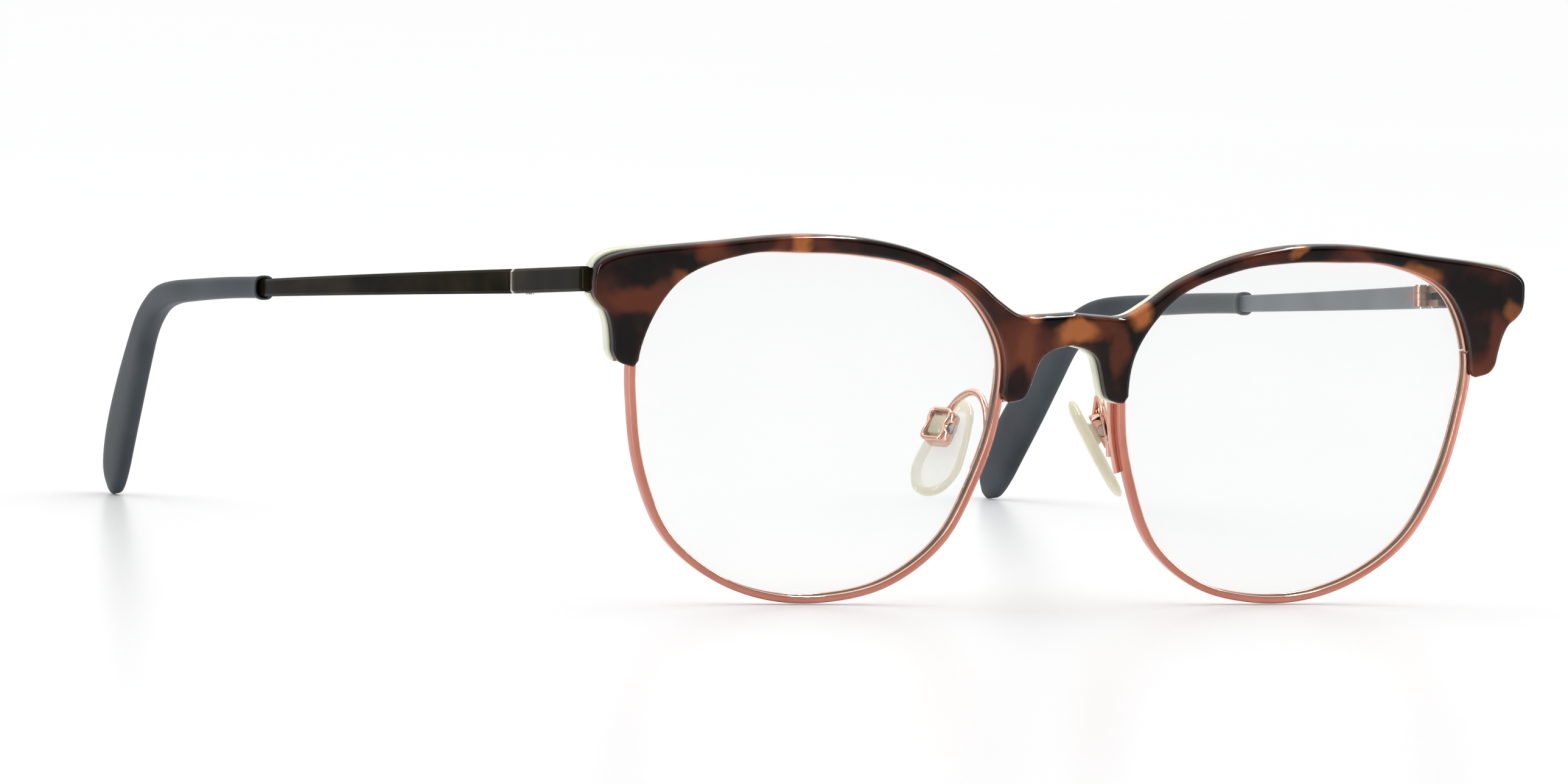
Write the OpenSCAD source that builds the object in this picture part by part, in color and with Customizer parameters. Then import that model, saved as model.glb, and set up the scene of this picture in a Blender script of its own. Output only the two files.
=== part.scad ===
// Browline eyeglasses: a tortoiseshell and ivory acetate brow over full metal
// eyewires, wire pad arms with clear nose pads, and metal temples with plastic tips.
// X runs across the front, +Y goes back towards the ears and +Z is up. The glasses
// stand on the two rims and the two temple tips. Left and right are the wearer's,
// and the left side is +X. Everything is drawn for the left side and mirrored.

/* [Lenses] */
// Width of one lens opening
lens_w = 49.5; // [48.5:0.5:50.5]
// Height of one lens opening
lens_h = 43.6; // [43:0.1:44]
// Distance between the two lens openings
bridge_gap = 17.8; // [17.4:0.1:18.2]
// Thickness of a lens
lens_t = 0.9; // [0.7:0.1:1.1]

/* [Rims] */
// Radial width of the rim wire
rim_w = 0.95; // [0.8:0.05:1.1]
// Depth of the rim wire, front to back
rim_depth = 1.8; // [1.5:0.05:1.8]
// Depth of the groove that holds the lens
groove_d = 0.4; // [0.3:0.05:0.5]

/* [Brow] */
// Thickness of the tortoiseshell layer
front_t = 1.8; // [1.4:0.1:2.2]
// Thickness of the ivory layer
back_t = 1.8; // [1.7:0.1:2.2]
// How far the ivory shows round the tortoiseshell
back_lip = 0.3; // [0.1:0.1:0.5]
// Radius of the front's sideways curve
curve_r = 1300; // [900:50:2000]
// Forward lean of the front, degrees
front_lean = 6.8; // [5:0.1:8]

/* [Temples] */
// Height of the metal strip at the hinge
strip_h = 3.1; // [2.8:0.1:3.4]
// Thickness of the metal strip
strip_t = 1.2; // [1:0.1:1.4]
// Length of the metal strip from the hinge to the tip's collar
strip_len = 68.5; // [60:0.5:70]
// Outward angle of the temple at the hinge, degrees
splay = 11.5; // [9:0.5:12]
// Radius of the temple's sideways bow
bow_r = 385; // [370:5:450]
// Downward slope of the temple towards the ear, degrees
drop = 4.6; // [4.4:0.1:4.8]

/* [Hinges] */
// Distance from the front to the hinge axis
hinge_y = 22.4; // [20:0.2:24]
// Radius of the hinge barrel
barrel_r = 1.25; // [1.1:0.05:1.3]
// Radius of the hinge screw
screw_r = 0.55; // [0.45:0.05:0.6]
// Running clearance in the hinges
clearance = 0.05; // [0.03:0.01:0.08]

/* [Nose pads] */
// Length of a nose pad
pad_len = 14; // [12:0.5:15]
// Width of a nose pad
pad_w = 7.6; // [7:0.2:8]
// Radius of the pad arm's wire
wire_r = 0.45; // [0.4:0.05:0.5]

/* [Hidden] */
$fn = 48;

// Place of the origin in the front's frame: under the middle, on the resting plane
mid_y = 78.72;
base_z = 0.12;
// Height at which the lean leaves the front where it is
lean_z = 22;
// Reach of the tools that cut right through a layer
reach = 20;

// Middle of a lens opening
lens_x = bridge_gap / 2 + lens_w / 2;
lens_z = lens_h / 2 + 0.95;
// Corners of the lens shape round its middle, from the temple side over the top
lens_points = [[24.1, 0.9], [24.6, 9.8], [20.4, 17.9], [12, 21.4], [3.9, 21.8],
    [-3.4, 21.6], [-11, 20.4], [-18.9, 17], [-24.1, 9.8], [-24.2, 0.9], [-22, -7.2],
    [-18.3, -14.6], [-11.7, -19.7], [-3.8, -21.7], [4.2, -21.5], [11.7, -19],
    [18.2, -14.1], [22.1, -7]];
// Steps between two points of a curve
steps = 5;
// First and last step of the lens shape that the brow follows
brow_from = 4;
brow_to = 43;
// Gap between the brow's lens side and the lens opening
brow_gap = 0.35;

// Top of the brow from the middle of the bridge to the end of the wing's tip
brow_top = [[0, 37.8], [4, 37.5], [7.4, 37.5], [10.6, 39.3], [14.7, 42.2], [21.8, 45.2],
    [29, 46.7], [36.4, 47.1], [42.5, 46.8], [50, 45.9], [58.2, 45], [62.9, 44.1],
    [65, 42.9], [65.5, 41], [65.4, 39], [64.6, 37.8], [63.5, 36.8], [62.8, 35.2],
    [62.4, 33.3], [62.1, 31.6], [61.2, 30.5], [59.4, 30]];
// Nose side of the brow, from the leg's foot back to the middle of the bridge
nose_edge = [[8.1, 26.3], [7.1, 26.4], [5.9, 26.9], [5.3, 28.2], [4.8, 29.9], [4, 31.9],
    [2.4, 33.1], [0, 33.7]];

// Rim lock on the temple side
lock_z = 33;
lock_gap = 0.3;
lock_size = [2.4, 1.6, 2.4];
lock_screw_x = 60.5;
// Front of the block, behind the tortoiseshell at the wing's depth in the curve
lock_y = pow(lock_screw_x + 1.1, 2) / (2 * curve_r) + 0.05;
lock_screw_y = lock_y + lock_size[1] / 2;

// Pad arm: foot behind the rim, screw at its top and the wire's route
foot_t = 0.5;
foot_low = 16.5;
foot_high = 30;
foot_screw = [7.3, 28.9];
foot_y = max(rim_depth, back_t);
// Seat of the foot screw's head, clear of the curved foot
head_y = foot_y + foot_t + pow(foot_screw[0] + 0.9, 2) / (2 * curve_r);
wire_route = [[8.8, 2.8, 19], [8.6, 3, 21.6], [8.3, 4.2, 24.6], [8.5, 5.7, 26.4],
    [9.1, 7.3, 26.7], [9.9, 9.2, 25.6], [10.5, 10.7, 23.8]];

// Pad box frame: its middle, the frontal tilt and the splay of the pad
box_place = [11.5, 10.4, 21.9];
pad_tilt = 30;
pad_splay = 25;
box_size = [4.6, 3.6, 2.3];
box_wall = 0.5;
boss_r = 0.8;
pad_screw_r = 0.45;

// Hinge: middle of its axis and the layout of the barrel
axis_x = 63.9;
axis_z = 38.95;
face_x = 2.5;
knuckle_h = 0.85;
leaf_len = 4.2;
// Bend of the end piece and the plate inside the brow
bend_r = 1.3;
plate_y = -22.55;
plate_t = 0.8;
plate_x = -5.4;
pin_r = 0.5;
pin_x = [-3.9, -1.2];

// Temple tip: route behind the hinge axis as [back, up], width and thickness at each
tip_route = [[68.5, 0], [71.1, 0.1], [82.2, 0.2], [95, 0.1], [104.5, -0.1], [110.8, -0.8],
    [115.6, -2.4], [119.8, -4.8], [123.9, -8.6], [128.9, -13.6], [133.8, -18.7], [137.3, -22.9],
    [139.4, -25.7], [140.4, -27.2]];
tip_width = [3.3, 2.9, 2.9, 3, 3.2, 3.7, 4.4, 5.3, 6.6, 7.9, 8.6, 8.3, 6.4, 2.4];
tip_thick = [2.9, 2.6, 2.7, 2.9, 3, 3, 2.9, 2.9, 2.8, 2.7, 2.6, 2.4, 2, 1];
core_len = 30;
// Radius of the tip's own sideways bow, and its slope at the collar
tip_bow_r = 430;
tip_slope = tan(splay) - strip_len / bow_r / pow(cos(splay), 3);
// Slope of the strip's upper and lower edges, which narrow it towards the tip
taper = 0.33;
core_h = 1.9;
core_t = 0.8;
tip_sides = 20;
tip_steps = 3;

// Catmull-Rom curve between b and c
function spot(a, b, c, d, t) = 0.5 * (2 * b + (c - a) * t
    + (2 * a - 5 * b + 4 * c - d) * t * t + (3 * b - a - 3 * c + d) * t * t * t);
function ring_curve(p, n) = [for (i = [0:len(p) - 1], k = [0:n - 1])
    spot(p[(i + len(p) - 1) % len(p)], p[i], p[(i + 1) % len(p)], p[(i + 2) % len(p)], k / n)];
function open_curve(p, n) = concat([for (i = [0:len(p) - 2], k = [0:n - 1])
    spot(p[max(i - 1, 0)], p[i], p[i + 1], p[min(i + 2, len(p) - 1)], k / n)], [p[len(p) - 1]]);
function unit(v) = v / norm(v);
// The outline p moved outwards by d
function grown(p, d) = [for (i = [0:len(p) - 1])
    let (t = unit(p[(i + 1) % len(p)] - p[(i + len(p) - 1) % len(p)])) p[i] + d * [t[1], -t[0]]];

lens_line = ring_curve([for (p = lens_points)
    [lens_x + p[0] * lens_w / 49.5, lens_z + p[1] * lens_h / 43.6]], steps);
brow_lens_side = grown(lens_line, brow_gap);
half_brow = concat(open_curve(brow_top, 4),
    [for (i = [brow_from:brow_to]) brow_lens_side[i]], open_curve(nose_edge, 3));
half_count = len(half_brow);
// Both halves of the brow as one outline, counter-clockwise seen from behind
brow_line = concat(half_brow, [for (i = [half_count - 2:-1:1]) [-half_brow[i][0], half_brow[i][1]]]);
// Outer face of the temple at a distance behind the hinge, which follows a shallow bow
function bow_x(y) = face_x + tan(splay) * y - y * y / (2 * bow_r) / pow(cos(splay), 3);

// Outer side of the tip, which carries the temple's line on in a wider bow
function tip_x(y) = bow_x(strip_len) + tip_slope * (y - strip_len)
    - pow(y - strip_len, 2) / (2 * tip_bow_r);

// ---- frames ----

// The left side as drawn, or its mirror image
module side(name) {
    if (name == "right") mirror([1, 0, 0]) children();
    else children();
}

module placed() {
    translate([0, -mid_y, -base_z]) children();
}

// The leaning plane of the front
module front_frame() {
    placed() translate([0, 0, lean_z]) rotate([front_lean, 0, 0]) translate([0, 0, -lean_z])
        children();
}

// The layer of the curved front between two depths behind the acetate joint
module layer(from, to) {
    intersection() {
        translate([0, curve_r, -reach]) difference() {
            cylinder(r = curve_r - from, h = 100, $fn = 720);
            translate([0, 0, -1]) cylinder(r = curve_r - to, h = 102, $fn = 720);
        }
        children();
    }
}

// A flat outline of [x, z] points carried through the front
module through(points) {
    translate([0, reach, 0]) rotate([90, 0, 0]) linear_extrude(2 * reach) polygon(points);
}

// The hinge's own frame: its axis is upright at the middle and +Y follows the temple
module temple_frame() {
    placed() translate([axis_x, hinge_y, axis_z]) rotate([-drop, 0, 0]) children();
}

// The pad box's frame: X along the pad, Y along the screw and Z towards the nose
module pad_frame() {
    placed() translate(box_place) rotate([0, 0, -pad_splay]) rotate([0, -90 - pad_tilt, 0])
        children();
}

// A rounded tube swept along points, by a list of cross-sections
module skin(rings) {
    n = len(rings[0]);
    last = len(rings) - 1;
    polyhedron(points = [for (r = rings) for (p = r) p],
        faces = concat([[for (i = [n - 1:-1:0]) i]],
            [for (k = [0:last - 1], i = [0:n - 1])
                [k * n + i, k * n + (i + 1) % n, (k + 1) * n + (i + 1) % n, (k + 1) * n + i]],
            [[for (i = [0:n - 1]) last * n + i]]));
}

// ---- front ----

module end_piece_plan(extra = 0) {
    inner = bend_r - strip_t;
    bend = [face_x - bend_r, plate_y + bend_r];
    translate([plate_x - extra, plate_y - extra])
        square([bend[0] - plate_x + extra, plate_t + 2 * extra]);
    translate([face_x - strip_t - extra, bend[1]])
        square([strip_t + 2 * extra, -clearance - bend[1]]);
    intersection() {
        translate(bend) difference() {
            circle(r = bend_r + extra);
            circle(r = inner - extra);
        }
        translate([bend[0], plate_y - 1]) square([bend_r + 1, bend_r + 1]);
    }
}

module end_piece_solid(extra = 0) {
    temple_frame() translate([0, 0, -strip_h / 2 - extra])
        linear_extrude(strip_h + 2 * extra) end_piece_plan(extra);
}

module pins(extra = 0) {
    temple_frame() for (x = pin_x) translate([x, plate_y + plate_t + 0.15, 0])
        rotate([90, 0, 0]) cylinder(r = pin_r, h = plate_t + 0.15 + extra);
}

module brow_front() {
    color("saddlebrown") front_frame() layer(-front_t, 0) through(brow_line);
}

module brow_back() {
    color("ivory") difference() {
        front_frame() difference() {
            layer(0, back_t) through(grown(brow_line, -back_lip));
            for (s = ["left", "right"]) side(s) {
                through(grown(lens_line, rim_w));
                translate([lock_screw_x - 2.6, -1, lock_z - 4]) cube([2.6 + 1.1, 10, 6.7]);
                translate([foot_screw[0], back_t + 1, foot_screw[1]]) rotate([90, 0, 0])
                    cylinder(r = screw_r, h = 2.4);
            }
        }
        for (s = ["left", "right"]) side(s) {
            end_piece_solid();
            pins();
        }
    }
}

module rim() {
    groove_y = (rim_depth - lens_t) / 2;
    color("rosybrown") front_frame() difference() {
        layer(0, rim_depth) difference() {
            through(grown(lens_line, rim_w));
            through(lens_line);
        }
        layer(groove_y, groove_y + lens_t) through(grown(lens_line, groove_d));
        translate([lens_x + lens_w / 4, -reach / 2, lock_z - lock_gap / 2])
            cube([lens_w / 2, reach, lock_gap]);
    }
}

module lens() {
    groove_y = (rim_depth - lens_t) / 2;
    color("honeydew", 0.4) front_frame() layer(groove_y, groove_y + lens_t)
        through(grown(lens_line, groove_d));
}

// The two halves of the closing block, outside the rim on its temple side
module lock_block(low) {
    color("rosybrown") front_frame() difference() {
        translate([lock_screw_x + 1.1 - lock_size[0], lock_y,
            low ? lock_z - lock_gap / 2 - lock_size[2] : lock_z + lock_gap / 2]) cube(lock_size);
        through(grown(lens_line, rim_w));
        translate([lock_screw_x, lock_screw_y, lock_z - 4]) cylinder(r = 0.5, h = 6);
        translate([lock_screw_x, lock_screw_y, lock_z - 4]) cylinder(r = 0.75, h = 2);
    }
}

module rim_lock_upper() {
    lock_block(false);
}

module rim_lock_lower() {
    lock_block(true);
}

module rim_lock_screw() {
    color("silver") front_frame() translate([lock_screw_x, lock_screw_y, 0]) difference() {
        union() {
            translate([0, 0, lock_z - 2]) cylinder(r = 0.5, h = 4);
            translate([0, 0, lock_z - 2.5]) cylinder(r = 0.75, h = 0.5);
        }
        translate([-1, -0.1, lock_z - 2.6]) cube([2, 0.2, 0.4]);
    }
}

// ---- nose pads ----

module pad_arm() {
    route = open_curve(wire_route, 4);
    count = len(route);
    color("rosybrown") {
        front_frame() difference() {
            layer(foot_y, foot_y + foot_t) union() {
                intersection() {
                    difference() {
                        through(grown(lens_line, 1.7));
                        through(grown(lens_line, 0.1));
                    }
                    translate([0, -reach / 2, foot_low]) cube([lens_x / 2, reach, foot_high - foot_low]);
                }
                translate([foot_screw[0], reach / 2, foot_screw[1]]) rotate([90, 0, 0])
                    cylinder(r = 1.1, h = reach);
            }
            translate([foot_screw[0], foot_y + 2, foot_screw[1]]) rotate([90, 0, 0])
                cylinder(r = screw_r + 0.03, h = 4);
        }
        placed() skin([for (i = [0:count - 1])
            let (t = unit(route[min(i + 1, count - 1)] - route[max(i - 1, 0)]),
                a = unit(cross(t, [1, 0, 0])), b = cross(a, t))
            [for (k = [0:11]) route[i] + wire_r * (cos(30 * k) * a + sin(30 * k) * b)]]);
    }
}

module arm_screw() {
    color("silver") front_frame() translate([foot_screw[0], head_y, foot_screw[1]])
        rotate([90, 0, 0]) difference() {
            union() {
                cylinder(r = screw_r, h = head_y - back_t + 1.4);
                translate([0, 0, -0.4]) cylinder(r = 0.9, h = 0.4);
            }
            translate([-1, -0.1, -0.5]) cube([2, 0.2, 0.3]);
        }
}

module pad_box() {
    cavity = [box_size[0] - 2 * box_wall, box_size[1] - 2 * box_wall, 3 * box_size[2]];
    color("rosybrown") pad_frame() difference() {
        translate([-box_size[0] / 2, -box_size[1] / 2, -boss_r - 0.6]) cube(box_size);
        translate([0, 0, -boss_r]) cube(cavity, center = true);
        rotate([90, 0, 0]) cylinder(r = pad_screw_r + 0.02, h = box_size[1] + 1, center = true);
        for (s = [-1, 1]) translate([0, s * (box_size[1] / 2 + 0.95), -3])
            cylinder(r = 1.2, h = 6);
    }
}

module pad_screw() {
    color("silver") pad_frame() rotate([90, 0, 0]) difference() {
        union() {
            translate([0, 0, 0.25 - box_size[1] / 2]) cylinder(r = pad_screw_r, h = box_size[1] - 0.25);
            translate([0, 0, box_size[1] / 2]) cylinder(r = 0.7, h = 0.25);
        }
        translate([-1, -0.08, box_size[1] / 2 + 0.1]) cube([2, 0.16, 0.3]);
    }
}

module nose_pad() {
    boss_len = box_size[1] - 2 * box_wall - 2 * clearance;
    color("lightyellow", 0.6) pad_frame() difference() {
        union() {
            translate([-1.8, 0, 2.2]) hull() {
                translate([pad_len / 2 - 2.8, 0, -0.2])
                    scale([2.8, 2.5, 0.8]) sphere(r = 1, $fn = 28);
                translate([-pad_len / 2 + pad_w / 2, 0, 0])
                    scale([pad_w / 2, pad_w / 2, 0.9]) sphere(r = 1, $fn = 28);
            }
            rotate([90, 0, 0]) cylinder(r = boss_r, h = boss_len, center = true);
            translate([-boss_r, -boss_len / 2, 0]) cube([2 * boss_r, boss_len, 1.9]);
        }
        rotate([90, 0, 0]) cylinder(r = pad_screw_r + clearance, h = 9, center = true);
    }
}

// ---- end pieces and hinges ----

module end_piece() {
    color("black") difference() {
        end_piece_solid();
        pins(0.1);
    }
}

module anchor_pins() {
    color("silver") pins();
}

module front_hinge_leaf() {
    color("dimgray") temple_frame() for (up = [0, 1]) mirror([0, 0, up]) difference() {
        translate([0, 0, knuckle_h / 2 + clearance]) union() {
            cylinder(r = barrel_r, h = knuckle_h);
            translate([0, -leaf_len, 0]) cube([face_x - strip_t, leaf_len - clearance, knuckle_h]);
        }
        translate([0, 0, -3]) cylinder(r = screw_r, h = 6);
    }
}

module temple_hinge_leaf() {
    color("silver") temple_frame() difference() {
        translate([0, 0, -knuckle_h / 2]) union() {
            cylinder(r = barrel_r, h = knuckle_h);
            translate([0, clearance, 0]) cube([face_x - strip_t, leaf_len, knuckle_h]);
        }
        translate([0, 0, -3]) cylinder(r = screw_r + clearance, h = 6);
        temple_body();
    }
}

module hinge_screw() {
    top = 1.5 * knuckle_h + clearance;
    color("silver") temple_frame() difference() {
        union() {
            translate([0, 0, -top - 0.3]) cylinder(r = screw_r, h = 2 * top + 0.3);
            translate([0, 0, top]) cylinder(r = 1, h = 0.2);
        }
        translate([-2, -0.12, top + 0.1]) cube([4, 0.24, 1]);
    }
}

// ---- temples ----

// A length of the bowed strip in the hinge's frame
module bowed(from, to, t, h) {
    turn = 180 / PI / bow_r;
    translate([face_x - bow_r * cos(splay), bow_r * sin(splay), 0])
        rotate([0, 0, from * turn - splay])
            rotate_extrude(angle = (to - from) * turn, $fn = 720)
                translate([bow_r - strip_t / 2 - t / 2, -h / 2]) square([t, h]);
}

module temple_body() {
    difference() {
        bowed(-3, strip_len + 1, strip_t, strip_h);
        translate([-reach, clearance - 8, -reach / 2]) cube([3 * reach, 8, reach]);
        for (up = [0, 1]) mirror([0, 0, up]) translate([-reach, 0, strip_h / 2])
            rotate([-taper, 0, 0]) cube([3 * reach, 2 * strip_len, 5]);
    }
    bowed(strip_len, strip_len + core_len, core_t, core_h);
}

module temple() {
    color("darkslategray") temple_frame() temple_body();
}

module temple_tip() {
    route = open_curve([for (i = [0:len(tip_route) - 1])
        [tip_route[i][0], tip_route[i][1], tip_width[i], tip_thick[i]]], tip_steps);
    count = len(route);
    color("slategray") temple_frame() skin([for (i = [0:count - 1])
        let (a = route[max(i - 1, 0)], b = route[min(i + 1, count - 1)],
            d = unit([b[0] - a[0], b[1] - a[1]]),
            x = tip_x(route[i][0]) - strip_t / 2)
        [for (k = [0:tip_sides - 1])
            let (c = cos(360 * k / tip_sides), s = sin(360 * k / tip_sides),
                side_x = sign(c) * pow(abs(c), 0.75) * route[i][3] / 2,
                up = sign(s) * pow(abs(s), 0.75) * route[i][2] / 2)
            [x + side_x, route[i][0] - d[1] * up, route[i][1] + d[0] * up]]]);
}

brow_front();
brow_back();
side("right") rim();  // right_rim
side("left") rim();  // left_rim
side("right") lens();  // right_lens
side("left") lens();  // left_lens
side("right") rim_lock_upper();  // right_rim_lock_upper
side("left") rim_lock_upper();  // left_rim_lock_upper
side("right") rim_lock_lower();  // right_rim_lock_lower
side("left") rim_lock_lower();  // left_rim_lock_lower
side("right") rim_lock_screw();  // right_rim_lock_screw
side("left") rim_lock_screw();  // left_rim_lock_screw
side("right") pad_arm();  // right_pad_arm
side("left") pad_arm();  // left_pad_arm
side("right") arm_screw();  // right_arm_screw
side("left") arm_screw();  // left_arm_screw
side("right") pad_box();  // right_pad_box
side("left") pad_box();  // left_pad_box
side("right") pad_screw();  // right_pad_screw
side("left") pad_screw();  // left_pad_screw
side("right") nose_pad();  // right_nose_pad
side("left") nose_pad();  // left_nose_pad
side("right") end_piece();  // right_end_piece
side("left") end_piece();  // left_end_piece
side("right") anchor_pins();  // right_anchor_pins
side("left") anchor_pins();  // left_anchor_pins
side("right") front_hinge_leaf();  // right_front_hinge_leaf
side("left") front_hinge_leaf();  // left_front_hinge_leaf
side("right") temple_hinge_leaf();  // right_temple_hinge_leaf
side("left") temple_hinge_leaf();  // left_temple_hinge_leaf
side("right") hinge_screw();  // right_hinge_screw
side("left") hinge_screw();  // left_hinge_screw
side("right") temple();  // right_temple
side("left") temple();  // left_temple
side("right") temple_tip();  // right_temple_tip
side("left") temple_tip();  // left_temple_tip
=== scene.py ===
# Browline eyeglasses: acetate brow, rose gold eyewires, clear nose pads, metal temples
import math

import bmesh
import bpy
from mathutils import Matrix, Vector, kdtree


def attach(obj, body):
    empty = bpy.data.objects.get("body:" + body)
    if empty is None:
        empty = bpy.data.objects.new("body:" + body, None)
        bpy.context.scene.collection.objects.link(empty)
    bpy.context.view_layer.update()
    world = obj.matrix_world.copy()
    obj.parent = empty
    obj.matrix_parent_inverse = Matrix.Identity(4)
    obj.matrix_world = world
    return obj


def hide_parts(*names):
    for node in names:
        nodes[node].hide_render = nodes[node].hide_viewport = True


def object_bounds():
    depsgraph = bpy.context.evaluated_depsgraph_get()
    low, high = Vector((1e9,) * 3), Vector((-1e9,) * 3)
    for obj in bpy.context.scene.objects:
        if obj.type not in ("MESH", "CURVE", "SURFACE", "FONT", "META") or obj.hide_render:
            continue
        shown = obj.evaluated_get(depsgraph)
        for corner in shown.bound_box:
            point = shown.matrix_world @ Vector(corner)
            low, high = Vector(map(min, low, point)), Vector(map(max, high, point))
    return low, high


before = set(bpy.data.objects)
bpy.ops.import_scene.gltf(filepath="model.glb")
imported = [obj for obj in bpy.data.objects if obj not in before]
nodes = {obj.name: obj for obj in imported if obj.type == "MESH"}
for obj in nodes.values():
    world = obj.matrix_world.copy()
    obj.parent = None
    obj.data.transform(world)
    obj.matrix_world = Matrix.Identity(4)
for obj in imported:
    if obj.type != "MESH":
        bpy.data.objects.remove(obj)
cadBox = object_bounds()
mm = 0.001
sides = {"left": 1, "right": -1}  # the wearer's left is +X
print("frame loaded:", len(nodes), "nodes")


def hexColour(code):
    # sRGB hex to linear, with alpha 1
    values = [int(code[i:i + 2], 16) / 255 for i in (1, 3, 5)]
    return [v / 12.92 if v < 0.04045 else ((v + 0.055) / 1.055) ** 2.4 for v in values] + [1]


def addNode(tree, kind, settings, links=None):
    # settings go to a node's sockets by name or number, or to its own properties
    node = tree.nodes.new(kind)
    for key, value in settings.items():
        if isinstance(key, str) and key not in node.inputs:
            setattr(node, key, value)
    for key, value in settings.items():
        if not isinstance(key, str) or key in node.inputs:
            node.inputs[key].default_value = value
    for key, source in (links or {}).items():
        tree.links.new(source, node.inputs[key])
    return node


def newMaterial(name, settings):
    material = bpy.data.materials.new(name)
    material.use_nodes = True
    tree = material.node_tree
    shader = tree.nodes["Principled BSDF"]
    for key, value in settings.items():
        shader.inputs[key].default_value = value
    return material, tree, shader


def paintRamp(node, stops):
    ramp = node.color_ramp
    while len(ramp.elements) < len(stops):
        ramp.elements.new(0.5)
    for element, (place, code) in zip(ramp.elements, stops):
        element.position = place
        element.color = hexColour(code)


def curveThrough(points, steps, closed=False):
    # Catmull-Rom curve through points of any length
    count = len(points)
    result = []
    for i in range(count if closed else count - 1):
        a, b, c, d = ([points[(i + k) % count] for k in (-1, 0, 1, 2)] if closed else
                      [points[min(max(i + k, 0), count - 1)] for k in (-1, 0, 1, 2)])
        for k in range(steps):
            t = k / steps
            result.append([0.5 * (2 * q + (r - p) * t + (2 * p - 5 * q + 4 * r - s) * t * t
                                  + (3 * q - p - 3 * r + s) * t ** 3)
                           for p, q, r, s in zip(a, b, c, d)])
    return result if closed else result + [list(points[-1])]


def outwards(points, distance, closed=True):
    # an outline of [x, z] points moved outwards, seen with its inside on the left
    count = len(points)
    result = []
    for i, p in enumerate(points):
        a = points[(i - 1) % count] if closed else points[max(i - 1, 0)]
        b = points[(i + 1) % count] if closed else points[min(i + 1, count - 1)]
        length = math.hypot(b[0] - a[0], b[1] - a[1])
        result.append([p[0] + distance * (b[1] - a[1]) / length,
                       p[1] - distance * (b[0] - a[0]) / length])
    return result


def roundCorners(corners, steps=4):
    # corners are [a, b, radius], given in order round a profile
    result = []
    for i, (a, b, radius) in enumerate(corners):
        here = Vector((a, b))
        before = (Vector(corners[i - 1][:2]) - here).normalized()
        after = (Vector(corners[(i + 1) % len(corners)][:2]) - here).normalized()
        if radius == 0:
            result.append([a, b])
            continue
        half = math.acos(max(-1, min(1, before.dot(after)))) / 2
        start = here + before * radius / math.tan(half)
        end = here + after * radius / math.tan(half)
        middle = here + (before + after).normalized() * radius / math.sin(half)
        for k in range(steps + 1):
            arm = (start - middle).slerp(end - middle, k / steps).normalized()
            result.append(list(middle + arm * radius))
    return result


def makePiece(name, body, replaced, bm, materials, sharp=32):
    # turns a bmesh in millimetres into a piece of the model
    bmesh.ops.scale(bm, vec=(mm, mm, mm), verts=bm.verts)
    bmesh.ops.recalc_face_normals(bm, faces=bm.faces)
    mesh = bpy.data.meshes.new(name)
    bm.to_mesh(mesh)
    bm.free()
    for material in materials:
        mesh.materials.append(material)
    mesh.shade_smooth()
    mesh.set_sharp_from_angle(angle=math.radians(sharp))
    piece = bpy.data.objects.new(name, mesh)
    bpy.context.scene.collection.objects.link(piece)
    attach(piece, body)
    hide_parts(replaced)


def addLoft(bm, rings, paint=None, caps=(0, 0), closed=False):
    # skins rings of points; paint gives the material of each strip round the ring
    loops = [[bm.verts.new(p) for p in ring] for ring in rings]
    count = len(rings[0])
    pairs = list(zip(loops, loops[1:])) + ([(loops[-1], loops[0])] if closed else [])
    for first, second in pairs:
        for i in range(count):
            k = (i + 1) % count
            face = bm.faces.new((first[i], first[k], second[k], second[i]))
            face.material_index = paint[i] if paint else 0
    if not closed:
        for loop, material in ((loops[0], caps[0]), (loops[-1], caps[1])):
            if material is not None:
                bm.faces.new(loop).material_index = material
    return loops


# places, in millimetres with the front's joint at y = 0
placing = {"back": 78.72, "down": 0.12, "curveRadius": 1300, "lean": 6.8, "leanHeight": 22}


def setDown(p):
    return Vector((p[0], p[1] - placing["back"], p[2] - placing["down"]))


def onFront(x, depth, z):
    # a point of the flat front, curved sideways and leaned forward
    y = depth + x * x / (2 * placing["curveRadius"])
    lean = math.radians(placing["lean"])
    up = z - placing["leanHeight"]
    return setDown((x, y * math.cos(lean) - up * math.sin(lean),
                    y * math.sin(lean) + up * math.cos(lean) + placing["leanHeight"]))


hinge = {"x": 63.9, "y": 22.4, "z": 38.95, "drop": 4.6, "face": 2.5, "splay": 11.5, "bow": 385}


def onTemple(x, y, z, sign=1):
    # a point in the hinge's frame, with +Y along the temple
    drop = math.radians(hinge["drop"])
    return setDown((sign * (hinge["x"] + x), hinge["y"] + y * math.cos(drop) + z * math.sin(drop),
                    hinge["z"] - y * math.sin(drop) + z * math.cos(drop)))


def bowAt(y):
    # outer face of the temple at a distance behind the hinge
    splay = math.radians(hinge["splay"])
    return hinge["face"] + math.tan(splay) * y - y * y / (2 * hinge["bow"]) / math.cos(splay) ** 3


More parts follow.
